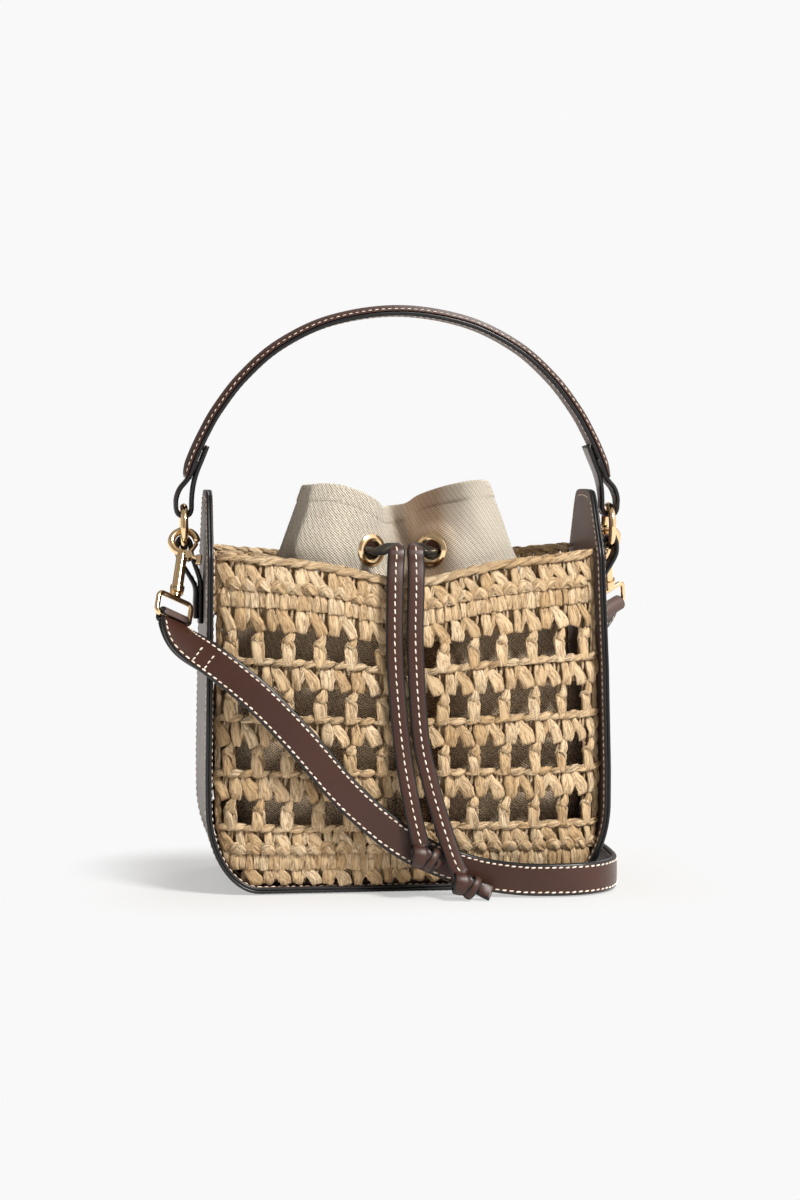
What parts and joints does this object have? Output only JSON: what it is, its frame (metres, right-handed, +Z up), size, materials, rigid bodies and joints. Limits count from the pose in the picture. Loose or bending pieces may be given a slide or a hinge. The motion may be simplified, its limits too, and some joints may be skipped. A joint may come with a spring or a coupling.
{
  "type": "bucket bag",
  "caption": "Small bucket bag: crocheted straw panels in a leather U gusset, canvas drawstring pouch inside, arched handle on rings and a clip-on shoulder strap.",
  "frame": {"origin": "centre of the base, on the ground plane the bag stands on", "axes": "+Z up, +X to the right seen from the front, front of the bag faces -Y"},
  "size_m": [0.2504, 0.1768, 0.2918],
  "materials": {
    "gusset_leather": "smooth, softly grained, satin",
    "lining_leather": "smooth lining leather, matt",
    "stiffener": "covered board",
    "straw": "crocheted straw, matt with slight sheen",
    "canvas": "ecru twill canvas, matt",
    "gold": "polished pale gold plating",
    "strap_leather": "smooth reddish dark brown, satin, black painted edges",
    "lace_leather": "smooth reddish dark brown lace, black painted edges"
  },
  "bodies": {
    "bag": {"gusset_outer": "gusset_leather", "gusset_lining": "lining_leather", "base_stiffener": "stiffener", "front_panel": "straw", "back_panel": "straw", "pouch": "canvas", "left_eyelet": "gold", "left_eyelet_washer": "gold", "right_eyelet": "gold", "right_eyelet_washer": "gold", "drawstring_inner_run": "lace_leather", "left_chape": "strap_leather", "right_chape": "strap_leather", "shoulder_strap": "strap_leather", "left_swivel_eye": "gold", "right_swivel_eye": "gold"},
    "handle": {"handle_strap": "strap_leather", "handle_cover": "strap_leather"},
    "left_ring_body": {"left_ring": "gold"},
    "right_ring_body": {"right_ring": "gold"},
    "left_hook": {"left_hook_body": "gold", "left_gate_pin": "gold"},
    "right_hook": {"right_hook_body": "gold", "right_gate_pin": "gold"},
    "left_gate_lever": {"left_gate": "gold"},
    "right_gate_lever": {"right_gate": "gold"},
    "left_lead": {"left_tie_lead": "lace_leather"},
    "right_lead": {"right_tie_lead": "lace_leather"},
    "left_tie_end": {"left_tie": "lace_leather", "left_knot": "lace_leather"},
    "right_tie_end": {"right_tie": "lace_leather", "right_knot": "lace_leather"}
  },
  "joints": [
    {"name": "handle_swing", "type": "hinge", "parent": "bag", "child": "handle", "pos_m": [0, 0, 0.1793], "axis": [1, 0, 0], "range_deg": [-42, 42]},
    {"name": "left_ring_turn", "type": "hinge", "parent": "bag", "child": "left_ring_body", "pos_m": [-0.1092, 0, 0.1793], "axis": [1, 0, 0], "continuous": true},
    {"name": "right_ring_turn", "type": "hinge", "parent": "bag", "child": "right_ring_body", "pos_m": [0.1092, 0, 0.1793], "axis": [1, 0, 0], "continuous": true},
    {"name": "left_hook_swivel", "type": "hinge", "parent": "bag", "child": "left_hook", "pos_m": [-0.11252, -0.01891, 0.15526], "axis": [0.1564, 0.4938, 0.8554], "range_deg": [-15, 15]},
    {"name": "right_hook_swivel", "type": "hinge", "parent": "bag", "child": "right_hook", "pos_m": [0.11252, 0.01891, 0.15526], "axis": [-0.1564, -0.4938, 0.8554], "range_deg": [-15, 15]},
    {"name": "left_gate_press", "type": "hinge", "parent": "left_hook", "child": "left_gate_lever", "pos_m": [-0.10773, -0.01306, 0.16539], "axis": [0, -0.866, 0.5], "range_deg": [0, 12]},
    {"name": "right_gate_press", "type": "hinge", "parent": "right_hook", "child": "right_gate_lever", "pos_m": [0.10773, 0.01306, 0.16539], "axis": [0, 0.866, 0.5], "range_deg": [0, 12]},
    {"name": "left_tie_pull", "type": "slide", "parent": "bag", "child": "left_lead", "axis": [0, -1, 0], "range_m": [0, 0.014]},
    {"name": "left_tie_lift", "type": "hinge", "parent": "left_lead", "child": "left_tie_end", "pos_m": [-0.0069, -0.0506, 0.1696], "axis": [-1, 0, 0], "range_deg": [0, 70]},
    {"name": "right_tie_pull", "type": "slide", "parent": "bag", "child": "right_lead", "axis": [0, -1, 0], "range_m": [0, 0.014]},
    {"name": "right_tie_lift", "type": "hinge", "parent": "right_lead", "child": "right_tie_end", "pos_m": [0.0025, -0.0506, 0.1696], "axis": [-1, 0, 0], "range_deg": [0, 70]}
  ]
}
